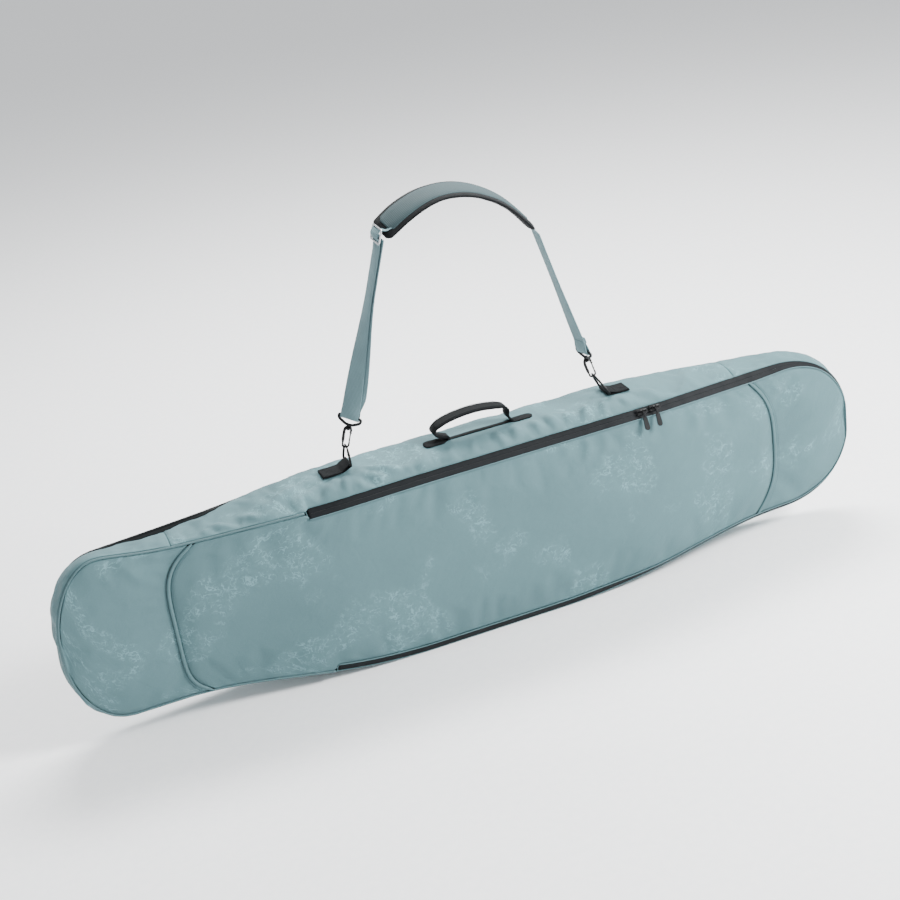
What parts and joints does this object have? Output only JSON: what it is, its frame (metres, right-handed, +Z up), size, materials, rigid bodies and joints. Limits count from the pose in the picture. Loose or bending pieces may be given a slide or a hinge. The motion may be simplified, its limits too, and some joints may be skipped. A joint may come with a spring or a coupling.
{
  "type": "snowboard bag",
  "caption": "Long padded fabric bag for a snowboard, with a wraparound zip, carry handle and clip-on padded shoulder strap.",
  "frame": {"origin": "middle of the flat stretch of the bottom gusset, on the surface that the bag stands on", "axes": "+X along the bag towards the end that the zip wraps, -Y out of the zipped front, +Z up towards the carry handle"},
  "size_m": [1.68, 0.1729, 0.8992],
  "materials": {
    "teal_fabric": "woven polyester, grey-teal, matte",
    "teal_piping": "covered piping cord, darker teal",
    "back_fabric": "woven polyester, charcoal, matte",
    "black_webbing": "ribbed webbing, black",
    "teal_webbing": "ribbed webbing, teal",
    "pad_fabric": "padded mesh, black",
    "zip_tape": "coated reverse-coil zip tape, black",
    "foam": "closed-cell foam sheet, grey",
    "lining": "plain lining, dark grey",
    "black_metal": "black coated metal, satin",
    "steel": "bare nickel-plated wire buckle",
    "black_plastic": "moulded nylon, black"
  },
  "bodies": {
    "bag": {"front_left_panel": "teal_fabric", "front_centre_panel_fixed": "teal_fabric", "front_fixed_foam": "foam", "front_fixed_lining": "lining", "back_panel": "back_fabric", "back_foam": "foam", "back_lining": "lining", "left_seam_piping": "teal_piping", "top_gusset": "teal_fabric", "bottom_gusset": "teal_fabric", "right_end_gusset": "teal_fabric", "left_end_gusset": "teal_fabric", "gusset_lining": "lining", "back_binding": "back_fabric", "front_edge_piping": "teal_piping", "zip_body_top": "zip_tape", "zip_body_end": "zip_tape", "zip_body_bottom": "zip_tape", "zip_body_belly": "zip_tape", "handle_base_strip": "black_webbing", "left_tab": "black_webbing", "right_tab": "black_webbing"},
    "flap": {"flap_centre_panel": "teal_fabric", "flap_right_panel": "teal_fabric", "flap_foam": "foam", "flap_lining": "lining", "right_seam_piping": "teal_piping", "zip_flap_top": "zip_tape", "zip_flap_end": "zip_tape", "zip_flap_bottom": "zip_tape", "zip_flap_belly": "zip_tape"},
    "left_zip_slider": {"left_slider": "black_metal"},
    "left_zip_pull": {"left_pull": "black_plastic"},
    "right_zip_slider": {"right_slider": "black_metal"},
    "right_zip_pull": {"right_pull": "black_plastic"},
    "handle": {"handle_webbing": "black_webbing", "handle_grip": "black_webbing"},
    "left_d_ring": {"left_ring": "black_metal"},
    "right_d_ring": {"right_ring": "black_metal"},
    "shoulder_strap": {"left_bracket": "black_plastic", "right_bracket": "black_plastic", "left_webbing": "teal_webbing", "right_webbing": "teal_webbing", "shoulder_pad": "pad_fabric", "pad_webbing": "teal_webbing"},
    "left_snap_hook": {"left_hook": "black_metal"},
    "right_snap_hook": {"right_hook": "black_metal"},
    "left_hook_gate": {"left_gate": "black_metal"},
    "right_hook_gate": {"right_gate": "black_metal"},
    "adjuster": {"strap_adjuster": "steel", "adjuster_webbing_end": "teal_webbing"}
  },
  "joints": [
    {"name": "flap_open", "type": "hinge", "parent": "bag", "child": "flap", "pos_m": [-0.343, -0.07391, 0.2], "axis": [0, 0, -1], "range_deg": [0, 150]},
    {"name": "left_slider_run", "type": "slide", "parent": "flap", "child": "left_zip_slider", "axis": [-1, 0, 0], "range_m": [0, 0.6]},
    {"name": "right_slider_run", "type": "slide", "parent": "flap", "child": "right_zip_slider", "axis": [0.9937, 0.1097, -0.0217], "range_m": [0, 0.12]},
    {"name": "left_pull_swing", "type": "hinge", "parent": "left_zip_slider", "child": "left_zip_pull", "pos_m": [0.355, -0.0768, 0.38314], "axis": [-1, 0, 0], "range_deg": [0, 120]},
    {"name": "right_pull_swing", "type": "hinge", "parent": "right_zip_slider", "child": "right_zip_pull", "pos_m": [0.383, -0.07623, 0.38413], "axis": [-1, 0, 0], "range_deg": [0, 120]},
    {"name": "handle_swing", "type": "hinge", "parent": "bag", "child": "handle", "pos_m": [0.029, 0, 0.4223], "axis": [1, 0, 0], "range_deg": [-80, 80]},
    {"name": "left_ring_tilt", "type": "hinge", "parent": "bag", "child": "left_d_ring", "pos_m": [-0.231, 0, 0.409], "axis": [0, 1, 0], "range_deg": [-1, 2]},
    {"name": "right_ring_tilt", "type": "hinge", "parent": "bag", "child": "right_d_ring", "pos_m": [0.289, 0, 0.409], "axis": [0, 1, 0], "range_deg": [-2, 1]},
    {"name": "strap_swing", "type": "hinge", "parent": "bag", "child": "shoulder_strap", "pos_m": [0.029, 0, 0.444], "axis": [1, 0, 0], "range_deg": [-90, 90]},
    {"name": "left_hook_swivel", "type": "hinge", "parent": "shoulder_strap", "child": "left_snap_hook", "pos_m": [-0.231, 0, 0.452], "axis": [0.3227, 0, 0.9465], "range_deg": [-20, 20]},
    {"name": "right_hook_swivel", "type": "hinge", "parent": "shoulder_strap", "child": "right_snap_hook", "pos_m": [0.289, 0, 0.452], "axis": [-0.2566, 0, 0.9665], "range_deg": [-20, 20]},
    {"name": "left_gate_open", "type": "hinge", "parent": "left_snap_hook", "child": "left_hook_gate", "pos_m": [-0.21706, 0, 0.47366], "axis": [0, 1, 0], "range_deg": [0, 18], "stiffness_Nm_per_rad": 0.02, "springref_deg": -17.19},
    {"name": "right_gate_open", "type": "hinge", "parent": "right_snap_hook", "child": "right_hook_gate", "pos_m": [0.28858, 0, 0.47775], "axis": [0, 1, 0], "range_deg": [0, 18], "stiffness_Nm_per_rad": 0.02, "springref_deg": -17.19},
    {"name": "adjuster_run", "type": "slide", "parent": "shoulder_strap", "child": "adjuster", "axis": [-0.3227, 0, -0.9465], "range_m": [0, 0.07]}
  ]
}
